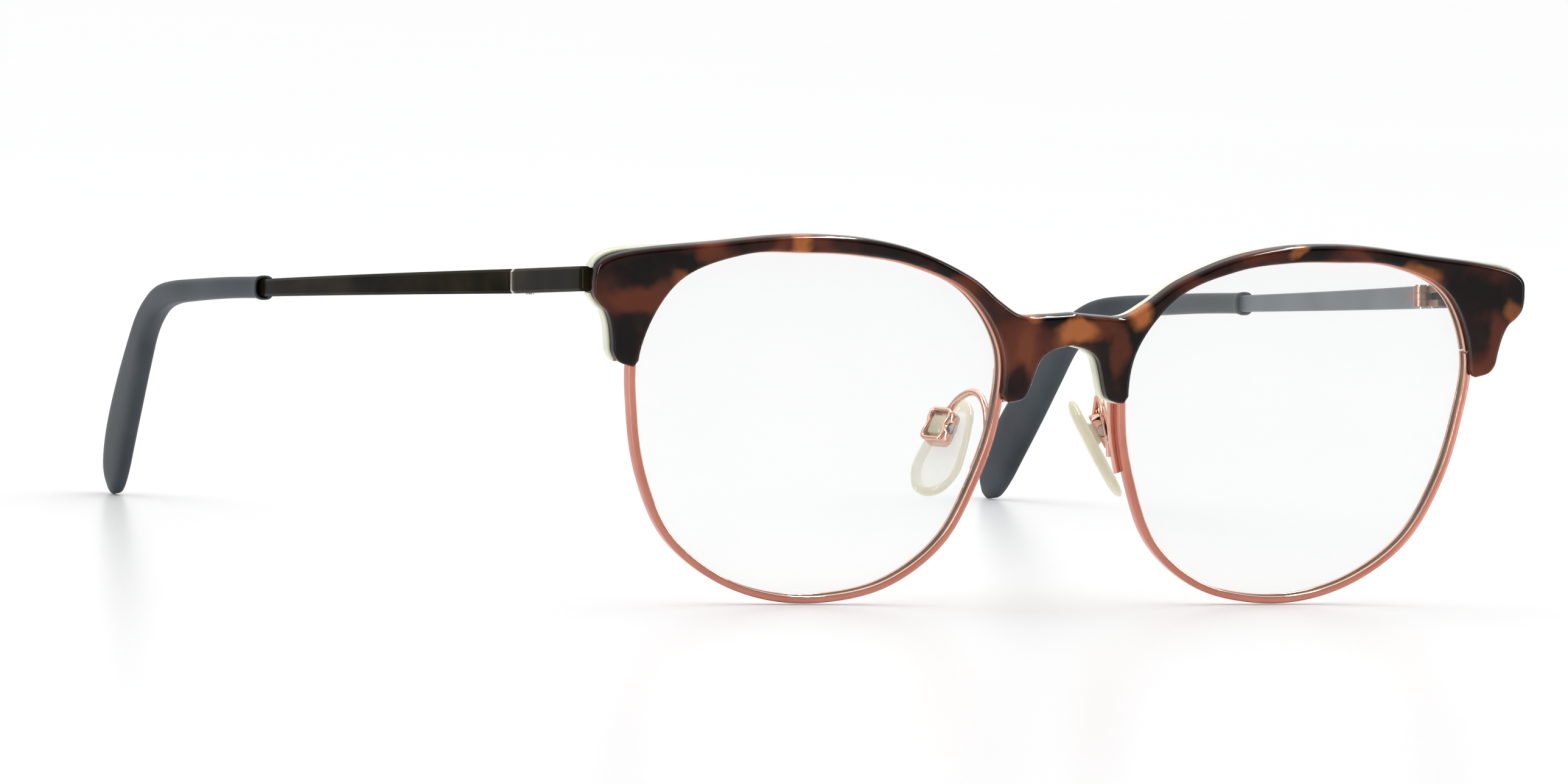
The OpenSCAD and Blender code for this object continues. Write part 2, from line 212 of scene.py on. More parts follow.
def makeTortoise():
    # cellulose acetate, block-cut and tumbled to a wet shine: black, smoke and amber clouds
    material, tree, shader = newMaterial("tortoiseAcetate", {
        "IOR": 1.48, "Roughness": 0.09, "Specular IOR Level": 0.15, "Coat Weight": 0.05,
        "Coat Roughness": 0.03})
    place = addNode(tree, "ShaderNodeTexCoord", {})
    # noise cells of about 6 mm push the clouds about; the clouds' own cells are about 9 mm
    push = 0.005
    warp = addNode(tree, "ShaderNodeTexNoise", {"Scale": 160, "Detail": 3, "Roughness": 0.5},
                   {"Vector": place.outputs["Object"]})
    shift = addNode(tree, "ShaderNodeVectorMath",
                    {"operation": "MULTIPLY_ADD", 1: (push, push, push)},
                    {0: warp.outputs["Color"], 2: place.outputs["Object"]})
    clouds = addNode(tree, "ShaderNodeTexNoise", {"Scale": 110, "Detail": 2.5, "Roughness": 0.45},
                     {"Vector": shift.outputs[0]})
    smoke = addNode(tree, "ShaderNodeValToRGB", {}, {"Fac": clouds.outputs["Fac"]})
    paintRamp(smoke, [(0.34, "#0f0908"), (0.47, "#241410"), (0.54, "#44211a"),
                      (0.62, "#633023"), (0.72, "#7c4229")])
    colour = smoke.outputs["Color"]
    # patches laid over the clouds: [x, z, reach across, reach up, strength] in millimetres
    patches = [
        ("black", [
            [-57.5, 42.6, 8.0, 2.6, 1.0], [-61.3, 33.0, 1.9, 3.4, 1.0],
            [57.5, 40.8, 7.0, 3.4, 0.95],
            [-7.2, 29.2, 1.7, 2.6, 0.75], [8.4, 29.6, 1.2, 2.4, 0.6], [-22.0, 45.0, 6.0, 1.8, 0.8],
            [45.0, 46.0, 6.0, 1.4, 0.85], [18.0, 44.0, 5.0, 1.3, 0.8], [-45.5, 46.0, 4.0, 1.4, 0.8],
            [-2.5, 36.9, 2.6, 1.0, 0.9],
        ]),
        ("rust", [
            [-59.0, 38.4, 6.5, 2.0, 0.95], [-10.5, 34.0, 2.4, 3.2, 0.7], [6.6, 33.6, 1.4, 3.6, 0.7],
            [-16.0, 40.5, 3.0, 2.4, 0.8], [61.5, 34.6, 1.8, 4.0, 0.8], [24.0, 45.6, 3.0, 1.3, 0.6],
            [-51.0, 44.6, 2.5, 1.3, 0.7], [4.5, 36.2, 3.0, 2.0, 0.8],
        ]),
        ("amber", [
            [-38.6, 46.2, 1.8, 3.6, 1.0], [-54.6, 40.4, 1.6, 1.9, 0.42], [0.6, 35.4, 3.2, 1.6, 1.0],
            [9.2, 38.4, 1.7, 2.4, 1.0], [-5.9, 37.3, 1.2, 0.9, 0.6], [49.3, 43.2, 2.6, 1.6, 0.6],
            [64.2, 38.2, 1.5, 1.8, 0.5], [30.5, 46.0, 1.8, 1.0, 0.7], [-12.3, 31.6, 0.9, 3.2, 0.7],
            [-45.0, 43.2, 2.4, 0.9, 0.5],
        ]),
    ]
    tones = {"black": "#0e0706", "rust": "#69331f", "amber": "#ba6d3b"}
    streak = addNode(tree, "ShaderNodeTexNoise", {"Scale": 380, "Detail": 2},
                     {"Vector": shift.outputs[0]})
    uneven = addNode(tree, "ShaderNodeMath", {"operation": "MULTIPLY_ADD", 1: 0.6, 2: 0.72},
                     {0: streak.outputs["Fac"]})
    for tone, spots in patches:
        cover = None
        for x, z, across, up, strength in spots:
            # the noise averages a half, so the push averages half its reach
            centre = onFront(x, -1, z) * mm + Vector((push / 2, push / 2, push / 2))
            away = addNode(tree, "ShaderNodeVectorMath", {"operation": "SUBTRACT", 1: centre},
                           {0: shift.outputs[0]})
            squeeze = addNode(tree, "ShaderNodeVectorMath", {
                "operation": "MULTIPLY", 1: (1000 / across, 0, 1000 / up)}, {0: away.outputs[0]})
            reach = addNode(tree, "ShaderNodeVectorMath", {"operation": "LENGTH"},
                            {0: squeeze.outputs[0]})
            fade = addNode(tree, "ShaderNodeMapRange", {
                "interpolation_type": "SMOOTHSTEP", "From Min": 0.5, "From Max": 1.25,
                "To Min": strength, "To Max": 0},
                {"Value": reach.outputs["Value"]}).outputs["Result"]
            cover = fade if cover is None else addNode(
                tree, "ShaderNodeMath", {"operation": "MAXIMUM"}, {0: cover, 1: fade}).outputs[0]
        spread = addNode(tree, "ShaderNodeMath", {"operation": "MULTIPLY", "use_clamp": True},
                         {0: cover, 1: uneven.outputs[0]})
        colour = addNode(tree, "ShaderNodeMix", {"data_type": "RGBA", 7: hexColour(tones[tone])},
                         {0: spread.outputs[0], 6: colour}).outputs[2]
    tree.links.new(colour, shader.inputs["Base Color"])
    # faint polishing waves, about 1.2 mm apart
    wave = addNode(tree, "ShaderNodeTexNoise", {"Scale": 800, "Detail": 1},
                   {"Vector": place.outputs["Object"]})
    bump = addNode(tree, "ShaderNodeBump", {"Strength": 0.03, "Distance": 0.0002},
                   {"Height": wave.outputs["Fac"]})
    tree.links.new(bump.outputs["Normal"], shader.inputs["Normal"])
    return material


def makeCloudy(name, settings, low, high, scale, bumpStrength=0.0, bumpScale=0.0, roughness=None):
    # a material whose colour drifts between two tones, with an even fine bump
    material, tree, shader = newMaterial(name, settings)
    place = addNode(tree, "ShaderNodeTexCoord", {})
    drift = addNode(tree, "ShaderNodeTexNoise", {"Scale": scale, "Detail": 4},
                    {"Vector": place.outputs["Object"]})
    tone = addNode(tree, "ShaderNodeValToRGB", {}, {"Fac": drift.outputs["Fac"]})
    paintRamp(tone, [(0.35, low), (0.65, high)])
    tree.links.new(tone.outputs["Color"], shader.inputs["Base Color"])
    if roughness:
        wear = addNode(tree, "ShaderNodeMapRange", {"To Min": roughness[0], "To Max": roughness[1]},
                       {"Value": drift.outputs["Fac"]})
        tree.links.new(wear.outputs["Result"], shader.inputs["Roughness"])
    if bumpStrength:
        grain = addNode(tree, "ShaderNodeTexNoise", {"Scale": bumpScale, "Detail": 2},
                        {"Vector": place.outputs["Object"]})
        bump = addNode(tree, "ShaderNodeBump", {"Strength": bumpStrength, "Distance": 0.0001},
                       {"Height": grain.outputs["Fac"]})
        tree.links.new(bump.outputs["Normal"], shader.inputs["Normal"])
    return material


tortoiseAcetate = makeTortoise()
# laminated cellulose acetate, milky with a green cast; light goes a little way in
ivoryAcetate = makeCloudy("ivoryAcetate", {
    "IOR": 1.48, "Roughness": 0.14, "Subsurface Weight": 0.25, "Subsurface Scale": 0.0015,
    "Subsurface Radius": (1.0, 0.9, 0.6), "Coat Weight": 0.3, "Coat Roughness": 0.05},
    "#e3e6c8", "#f2f3df", 180)
# monel wire plated rose gold, barrelled to a satin shine; buffing marks about 0.3 mm apart
roseGold = makeCloudy("roseGoldPlate", {"Metallic": 1, "Roughness": 0.2},
                      "#bd7a6a", "#cf8c7b", 90, 0.05, 3300, (0.16, 0.28))
# the same plating left bright where the lens sits and on the bent wires
roseGoldBright = makeCloudy("roseGoldBright", {"Metallic": 1, "Roughness": 0.08},
                            "#cd9a88", "#e2b5a2", 120, 0.02, 2500, (0.05, 0.12))
# the same plating in the hinges, duller
hingePlate = makeCloudy("hingePlate", {"Metallic": 1, "Roughness": 0.3},
                        "#8f6e64", "#ab897c", 200, 0.08, 2500, (0.25, 0.4))
# machined stainless steel: grey-white, with turning marks too fine to show one by one
screwSteel = makeCloudy("screwSteel", {"Metallic": 1, "Roughness": 0.25},
                        "#a9a9ab", "#cfccc8", 900, 0.1, 5000, (0.18, 0.34))
# steel strip's polished edge
bevelSteel = makeCloudy("polishedBevelSteel", {"Metallic": 1, "Roughness": 0.16},
                        "#b9b0a8", "#d8d2cb", 150, 0.03, 2500, (0.12, 0.22))
# cured dark lacquer on the outside of the strip, olive-brown in the light
stripLacquer = makeCloudy("stripLacquer", {
    "IOR": 1.45, "Roughness": 0.16, "Specular IOR Level": 0.03},
    "#060504", "#2a2416", 95, 0.02, 1500)
# grey lacquer on the inside of the strip, half matt
innerLacquer = makeCloudy("innerLacquer", {"IOR": 1.5, "Roughness": 0.42, "Metallic": 0.2},
                          "#5d6167", "#6c7076", 110, 0.03, 2000)
# moulded plastic temple tip with a spark-eroded mould finish, grains about 0.25 mm
slatePlastic = makeCloudy("slatePlastic",
                          {"IOR": 1.5, "Roughness": 0.5, "Specular IOR Level": 0.18},
                          "#343a40", "#454c53", 70, 0.12, 4000, (0.42, 0.55))
# painted shade: a near-black colour on the bottom of the tip's collar, where shade falls in the
# recess
paintedShadeRecess = makeCloudy("paintedShadeRecess", {"IOR": 1.5, "Roughness": 0.7},
                           "#0f1012", "#1a1b1e", 300)
# soft clear PVC, moulded glossy: clear through the middle, straw yellow where it is thick
padVinyl = makeCloudy("padVinyl", {"IOR": 1.45, "Roughness": 0.08, "Alpha": 0.3},
                      "#f3f2e6", "#fdfdf6", 150, 0.05, 900)
padVinylEdge = makeCloudy("padVinylEdge", {"IOR": 1.45, "Roughness": 0.1, "Alpha": 0.62},
                          "#e2ddb6", "#f1eed2", 150, 0.05, 900)
# cut edge of the lens, ground and grey-green
lensEdge = makeCloudy("lensGroundEdge", {"IOR": 1.5, "Roughness": 0.35, "Alpha": 0.3},
                      "#9fb0a3", "#c9d3ca", 300)
# clear plastic lens: only its gloss and a trace of tint show
lensClear = makeCloudy("lensPlastic", {"IOR": 1.5, "Roughness": 0.02, "Alpha": 0.07},
                       "#dfe9e2", "#eef4ef", 60)
print("materials made")

# outlines shared by the lenses, rims and brow
lens = {
    "width": 49.5, "height": 43.6, "gap": 17.8, "thick": 0.9, "groove": 0.4, "dome": 0.7,
    "points": [[24.1, 0.9], [24.6, 9.8], [20.4, 17.9], [12, 21.4], [3.9, 21.8], [-3.4, 21.6],
               [-11, 20.4], [-18.9, 17], [-24.1, 9.8], [-24.2, 0.9], [-22, -7.2], [-18.3, -14.6],
               [-11.7, -19.7], [-3.8, -21.7], [4.2, -21.5], [11.7, -19], [18.2, -14.1], [22.1, -7]],
}
lensMiddle = [lens["gap"] / 2 + lens["width"] / 2, lens["height"] / 2 + 0.95]
finer = 2  # finer steps than the solid's outline
lensLine = curveThrough([[lensMiddle[0] + p[0], lensMiddle[1] + p[1]] for p in lens["points"]],
                        5 * finer, closed=True)
lensNormals = [[b[0] - a[0], b[1] - a[1]] for a, b in zip(lensLine, outwards(lensLine, 1))]
rim = {"width": 0.95, "depth": 1.8, "splitHeight": 33, "splitGap": 0.3}
print("outlines drawn")

brow = {
    "frontThick": 1.8, "backThick": 1.8, "lip": 0.3, "gap": 0.35,
    "frontRound": 0.62, "backRound": 0.5,
    "top": [[0, 37.8], [4, 37.5], [7.4, 37.5], [10.6, 39.3], [14.7, 42.2], [21.8, 45.2],
            [29, 46.7], [36.4, 47.1], [42.5, 46.8], [50, 45.9], [58.2, 45], [62.9, 44.1],
            [65, 42.9], [65.5, 41], [65.4, 39], [64.6, 37.8], [63.5, 36.8], [62.8, 35.2],
            [62.4, 33.3], [62.1, 31.6], [61.2, 30.5], [59.4, 30]],
    "nose": [[8.1, 26.3], [7.1, 26.4], [5.9, 26.9], [5.3, 28.2], [4.8, 29.9], [4, 31.9],
             [2.4, 33.1], [0, 33.7]],
}


def browOutline(lensGap, grow):
    # both halves as one outline; grow moves the free edges outwards
    lensSide = outwards(lensLine, lensGap)[4 * finer:43 * finer + 1]
    top = curveThrough(brow["top"], 8)
    moved = outwards(top, -grow, closed=False)
    # along the top the back layer is filed a little lower than the front one
    share = [min(1, max(-0.8, (p[0] - 59) / 4)) if p[1] > 37 else 1 for p in top]
    top = [[p[0] + k * (q[0] - p[0]), p[1] + k * (q[1] - p[1])]
           for p, q, k in zip(top, moved, share)]
    nose = outwards(curveThrough(brow["nose"], 6), -grow, closed=False)
    top[0][0] = nose[-1][0] = 0
    half = top + lensSide + nose
    return half + [[-p[0], p[1]] for p in half[-2:0:-1]]


def insetOutline(outline, distance):
    # the outline moved inwards; points that would cross near a corner meet in one place
    moved = outwards(outline, distance)
    tree = kdtree.KDTree(len(outline))
    for i, p in enumerate(outline):
        tree.insert((p[0], p[1], 0), i)
    tree.balance()
    good = [tree.find((p[0], p[1], 0))[2] > distance * 0.985 for p in moved]
    count = len(moved)
    start = good.index(True)
    i = start
    while i < start + count:
        if good[i % count]:
            i += 1
            continue
        end = i
        while not good[end % count]:
            end += 1
        a, b = moved[(i - 1) % count], moved[end % count]
        for k in range(i, end):
            moved[k % count] = [(a[0] + b[0]) / 2, (a[1] + b[1]) / 2]
        i = end
    return moved


def addSlab(bm, outline, front, back, frontRound, backRound, steps=6):
    # a flat slab with rounded edges, cut into columns so that it can be curved
    turns = [math.pi / 2 * k / steps for k in range(steps + 1)]
    frontInset, backInset = insetOutline(outline, frontRound), insetOutline(outline, backRound)
    rings = [(frontInset, 1 - math.sin(a), front + frontRound * (1 - math.cos(a)))
             for a in turns]
    rings += [(backInset, 1 - math.sin(a), back - backRound * (1 - math.cos(a)))
              for a in turns[::-1]]
    addLoft(bm, [[(p[0] + share * (q[0] - p[0]), depth, p[1] + share * (q[1] - p[1]))
                  for p, q in zip(outline, inset)] for inset, share, depth in rings],
            caps=(None, None))
    bmesh.ops.remove_doubles(bm, verts=bm.verts, dist=0.002)
    for depth in (front, back):
        bmesh.ops.triangle_fill(bm, use_beauty=True, edges=[
            e for e in bm.edges if e.is_boundary and abs(e.verts[0].co.y - depth) < 0.02])
    columnStep = 2
    for x in range(-64, 65, columnStep):
        bmesh.ops.bisect_plane(bm, geom=bm.verts[:] + bm.edges[:] + bm.faces[:],
                               plane_co=(x + 0.013, 0, 0), plane_no=(1, 0, 0))


def cutBoxes(bm, boxes):
    # takes boxes of [low corner, high corner] out of a flat slab
    mesh = bpy.data.meshes.new("slab")
    bm.to_mesh(mesh)
    bm.free()
    slab = bpy.data.objects.new("slab", mesh)
    tool = bmesh.new()
    for low, high in boxes:
        middle = Matrix.Translation((Vector(low) + Vector(high)) / 2)
        size = Matrix.Diagonal((Vector(high) - Vector(low)).to_4d())
        size[3][3] = 1
        bmesh.ops.create_cube(tool, size=1, matrix=middle @ size)
    toolMesh = bpy.data.meshes.new("tool")
    tool.to_mesh(toolMesh)
    tool.free()
    cutter = bpy.data.objects.new("tool", toolMesh)
    for o in (slab, cutter):
        bpy.context.scene.collection.objects.link(o)
    cut = slab.modifiers.new("cut", "BOOLEAN")
    cut.object, cut.solver, cut.operation = cutter, "EXACT", "DIFFERENCE"
    bpy.context.view_layer.update()
    ready = slab.evaluated_get(bpy.context.evaluated_depsgraph_get()).to_mesh()
    result = bmesh.new()
    result.from_mesh(ready)
    for o in (slab, cutter):
        bpy.data.objects.remove(o)
    return result


def curveFront(bm):
    for v in bm.verts:
        v.co = onFront(v.co.x, v.co.y, v.co.z)


bm = bmesh.new()
addSlab(bm, browOutline(brow["gap"], 0), -brow["frontThick"], -0.005, brow["frontRound"], 0.05)
curveFront(bm)
makePiece("tortoiseBrow", "front", "brow_front", bm, [tortoiseAcetate])

bm = bmesh.new()
addSlab(bm, browOutline(rim["width"] + 0.01, brow["lip"]), 0.005, brow["backThick"], 0.25,
        brow["backRound"])
# notches through the ivory: [middle, half width, lowest, highest], for the rim lock
# and for the end piece's plate
notches = [[59.75, 1.85, 29, 35.7], [64.5, 2.6, 38.9, 42.1]]
bm = cutBoxes(bm, [[(s * x - half, -1, low), (s * x + half, 5, high)]
                   for x, half, low, high in notches for s in (1, -1)])
curveFront(bm)
makePiece("ivoryBrow", "front", "brow_back", bm, [ivoryAcetate])
print("brow made")

# rims and lenses
for side, sign in sides.items():
    # the wire's profile: [outwards from the lens, depth, corner radius]
    lip = (rim["depth"] - lens["thick"]) / 2
    profile = roundCorners([
        [0, 0, 0.12], [rim["width"], 0, 0.32], [rim["width"], rim["depth"], 0.32],
        [0, rim["depth"], 0.12], [0, rim["depth"] - lip, 0.05],
        [lens["groove"], rim["depth"] - lip, 0], [lens["groove"], lip, 0], [0, lip, 0.05]])
    # the path starts above the split and ends below it
    start = next(i for i, p in enumerate(lensLine)
                 if p[0] > lensMiddle[0] and p[1] > rim["splitHeight"])
    order = [(start + k) % len(lensLine) for k in range(len(lensLine))]
    path = [(lensLine[i], lensNormals[i]) for i in order]
    (a, na), (b, nb) = path[-1], path[0]
    ends = []
    for level in (rim["splitHeight"] + rim["splitGap"] / 2,
                  rim["splitHeight"] - rim["splitGap"] / 2):
        t = (level - a[1]) / (b[1] - a[1])
        ends.append(([a[0] + t * (b[0] - a[0]), level],
                     [na[0] + t * (nb[0] - na[0]), na[1] + t * (nb[1] - na[1])]))
    path = [ends[0]] + [e for e in path if not (e[0][0] > lensMiddle[0]
                        and abs(e[0][1] - rim["splitHeight"]) < rim["splitGap"])] + [ends[1]]
    bm = bmesh.new()
    bright = [1 if max(u, profile[(i + 1) % len(profile)][0]) < rim["width"] * 0.5 else 0
              for i, (u, v) in enumerate(profile)]
    addLoft(bm, [[onFront(sign * (p[0] + n[0] * u), v, p[1] + n[1] * u) for u, v in profile]
                 for p, n in path], bright)
    makePiece(side + "RimWire", "front", side + "_rim", bm,
              [roseGold, roseGoldBright], sharp=40)

    edge = outwards(lensLine, lens["groove"] - 0.02)
    bm = bmesh.new()
    # front face from its middle to the rim, then the back face to its middle again
    scales = (0.15, 0.4, 0.6, 0.75, 0.87, 0.95, 0.985, 1)
    shells = [(scale, lip + 0.02) for scale in scales]
    shells += [(scale, rim["depth"] - lip - 0.02) for scale in scales[::-1]]
    rings = []
    for scale, depth in shells:
        rings.append([onFront(sign * (lensMiddle[0] + scale * (p[0] - lensMiddle[0])),
                              depth - lens["dome"] * (1 - scale ** 2),
                              lensMiddle[1] + scale * (p[1] - lensMiddle[1])) for p in edge])
    loops = addLoft(bm, rings)
    outermost = len(scales)
    rimVerts = set(sum(loops[outermost - 2:outermost + 2], []))
    for face in bm.faces:
        if all(v in rimVerts for v in face.verts):
            face.material_index = 1
    makePiece(side + "LensBlank", "front", side + "_lens", bm, [lensClear, lensEdge])
print("rims and lenses made")

# pad arms and nose pads
arm = {
    "footThick": 0.5, "footLow": 16.5, "footHigh": 30, "footSpan": [0.12, 1.68],
    "ear": [7.3, 28.9], "wire": 0.45, "wireSides": 20,
    "route": [[8.8, 2.8, 19], [8.6, 3, 21.6], [8.3, 4.2, 24.6], [8.5, 5.7, 26.4],
              [9.1, 7.3, 26.7], [9.9, 9.2, 25.6], [10.5, 10.7, 23.8]],
}
pad = {"place": [11.5, 10.4, 21.9], "tilt": 30, "splay": 25}
padTurn = (Matrix.Rotation(math.radians(-pad["splay"]), 3, "Z")
           @ Matrix.Rotation(math.radians(-90 - pad["tilt"]), 3, "Y"))


def onPad(u, v, w, sign):
    # u along the pad, v along its screw, w towards the nose
    p = padTurn @ Vector((u, v, w)) + Vector(pad["place"])
    return setDown((sign * p.x, p.y, p.z))


for side, sign in sides.items():
    bm = bmesh.new()
    # foot: a thin strip soldered behind the rim
    depth = rim["depth"]
    near, far = arm["footSpan"]
    profile = roundCorners([[near, depth, 0.1], [far, depth, 0.1],
                            [far, depth + arm["footThick"], 0.18],
                            [near, depth + arm["footThick"], 0.18]], 3)
    footLine = [(p, n) for p, n in zip(lensLine, lensNormals)
                if p[0] < lensMiddle[0] and arm["footLow"] <= p[1] <= arm["footHigh"]]
    addLoft(bm, [[onFront(sign * (p[0] + n[0] * u), v, p[1] + n[1] * u) for u, v in profile]
                 for p, n in footLine])
    # ear round the foot's screw
    washer = [(0.57, 0.02), (1.0, 0.02), (1.08, 0.1), (1.08, 0.38), (0.98, 0.5), (0.57, 0.5)]
    addLoft(bm, [[onFront(sign * (arm["ear"][0] + r * math.cos(t * math.pi / 16)), depth + d,
                          arm["ear"][1] + r * math.sin(t * math.pi / 16)) for r, d in washer]
                 for t in range(32)], closed=True)
    # wire bent from the foot up and back to the box
    route = [Vector(p) for p in curveThrough(arm["route"], 8)]
    rings = []
    for i, p in enumerate(route):
        t = (route[min(i + 1, len(route) - 1)] - route[max(i - 1, 0)]).normalized()
        a = t.cross(Vector((1, 0, 0))).normalized()
        b = a.cross(t)
        rings.append([])
        for k in range(arm["wireSides"]):
            turn = 2 * math.pi * k / arm["wireSides"]
            q = p + arm["wire"] * (math.cos(turn) * a + math.sin(turn) * b)
            rings[-1].append(setDown((sign * q.x, q.y, q.z)))
    addLoft(bm, rings)
    makePiece(side + "PadArm", "front", side + "_pad_arm", bm,
              [roseGoldBright], sharp=40)

    # box that holds the pad's boss: a waisted ring with rolled edges
    bm = bmesh.new()
    outer = roundCorners([
        [-2.3, -1.8, 0.8], [-0.8, -1.8, 0.6], [0, -1.54, 0.9], [0.8, -1.8, 0.6],
        [2.3, -1.8, 0.8], [2.3, 1.8, 0.8], [0.8, 1.8, 0.6], [0, 1.54, 0.9],
        [-0.8, 1.8, 0.6], [-2.3, 1.8, 0.8]], 5)
    wall = [(0.12, -1.4), (0, -1.28), (0, 0.78), (0.12, 0.9), (0.38, 0.9), (0.48, 0.8),
            (0.48, -1.3), (0.38, -1.4)]
    outerNormals = [[a[0] - b[0], a[1] - b[1]] for a, b in zip(outwards(outer, 1), outer)]
    addLoft(bm, [[onPad(p[0] - q[0] * d, p[1] - q[1] * d, w, sign) for d, w in wall]
                 for p, q in zip(outer, outerNormals)], closed=True)
    makePiece(side + "PadBox", "front", side + "_pad_box", bm,
              [roseGoldBright], sharp=50)

    bm = bmesh.new()
    # pad outline: a broad lower lobe and a narrower upper one
    outline = curveThrough([[-8.8, 0], [-7.9, 2.4], [-5.2, 3.75], [-2, 3.55], [1.2, 2.95],
                            [3.9, 2.1], [5.2, 0], [3.9, -2.1], [1.2, -2.95], [-2, -3.55],
                            [-5.2, -3.75], [-7.9, -2.4]], 5, closed=True)
    section = [(0.12, 1.38), (0.6, 1.38), (0.86, 1.42), (0.96, 1.6), (0.995, 1.9), (0.99, 2.2),
               (0.93, 2.55), (0.8, 2.82), (0.55, 3.0), (0.12, 3.08)]
    loops = addLoft(bm, [[onPad(-1.8 + s * (p[0] + 1.8), s * p[1], w, sign) for p in outline]
                         for s, w in section])
    thickEdge = set(sum(loops[2:8], []))
    for face in bm.faces:
        if all(v in thickEdge for v in face.verts):
            face.material_index = 1
    # boss that stands in the box, with a waist under the pad
    block = roundCorners([[-0.78, -1.18, 0.3], [0.78, -1.18, 0.3],
                          [0.78, 1.18, 0.3], [-0.78, 1.18, 0.3]])
    bossSteps = ((-1.15, 0.7), (-1.0, 0.94), (0.6, 1), (1.0, 0.98), (1.42, 1.12))
    for ring in addLoft(bm, [[onPad(u * k * 1.7, v * k, w, sign) for u, v in block]
                             for w, k in bossSteps]):
        for v in ring:
            for face in v.link_faces:
                face.material_index = 1
    makePiece(side + "NosePad", side + "_pad", side + "_nose_pad", bm,
              [padVinyl, padVinylEdge], sharp=50)
print("pad arms and pads made")

# end pieces, temples and tips
strip = {
    "height": 3.1, "thick": 1.2, "length": 68.5, "taper": 0.33, "chamfer": 0.34,
    "plateThick": 0.8, "plateFrom": -5.4, "plateFront": -22.55, "bend": 1.3,
    "clearance": 0.05, "endChamfer": 0.08, "tipBow": 430,
}
tip = {
    "route": [[68.5, 0], [71.1, 0.1], [82.2, 0.2], [95, 0.1], [104.5, -0.1], [110.8, -0.8],
              [115.6, -2.4], [119.8, -4.8], [123.9, -8.6], [128.9, -13.6], [133.8, -18.7],
              [137.3, -22.9], [139.4, -25.7], [140.4, -27.2]],
    "width": [3.3, 2.9, 2.9, 3, 3.2, 3.7, 4.4, 5.3, 6.6, 7.9, 8.6, 8.3, 6.4, 2.4],
    "thick": [2.9, 2.6, 2.7, 2.9, 3, 3, 2.9, 2.9, 2.8, 2.7, 2.6, 2.4, 2, 1],
    "sides": 36, "square": 0.72,
}


def tipAt(y):
    # the plastic tip carries the line on in a wider bow
    beyond = y - strip["length"]
    slope = (bowAt(strip["length"]) - bowAt(strip["length"] - 0.1)) / 0.1
    return bowAt(strip["length"]) + slope * beyond - beyond ** 2 / (2 * strip["tipBow"])


def stripProfile(height, thick, shrink=0):
    # [inwards from the outer face, up], going round from the outer face's lower edge
    h, c, s = height / 2 - shrink, strip["chamfer"], 0.16
    return [[shrink, -h + c], [shrink, -h * 0.4], [shrink, h * 0.4], [shrink, h - c],
            [shrink + c * 0.8, h], [thick - s, h], [thick, h - s], [thick, -h + s],
            [thick - s, -h], [shrink + c * 0.8, -h]]


def paintEnd(loops, end):
    # the chamfer round a strip's end at the hinge is bare polished steel
    edge = set(loops[end] + loops[end + 1 if end == 0 else end - 1])
    for v in edge:
        for face in v.link_faces:
            if len(face.verts) == 4 and all(w in edge for w in face.verts):
                face.material_index = 1


stripPaint = [0, 0, 0, 0, 0, 2, 2, 2, 0, 0]  # outer lacquer, inner lacquer

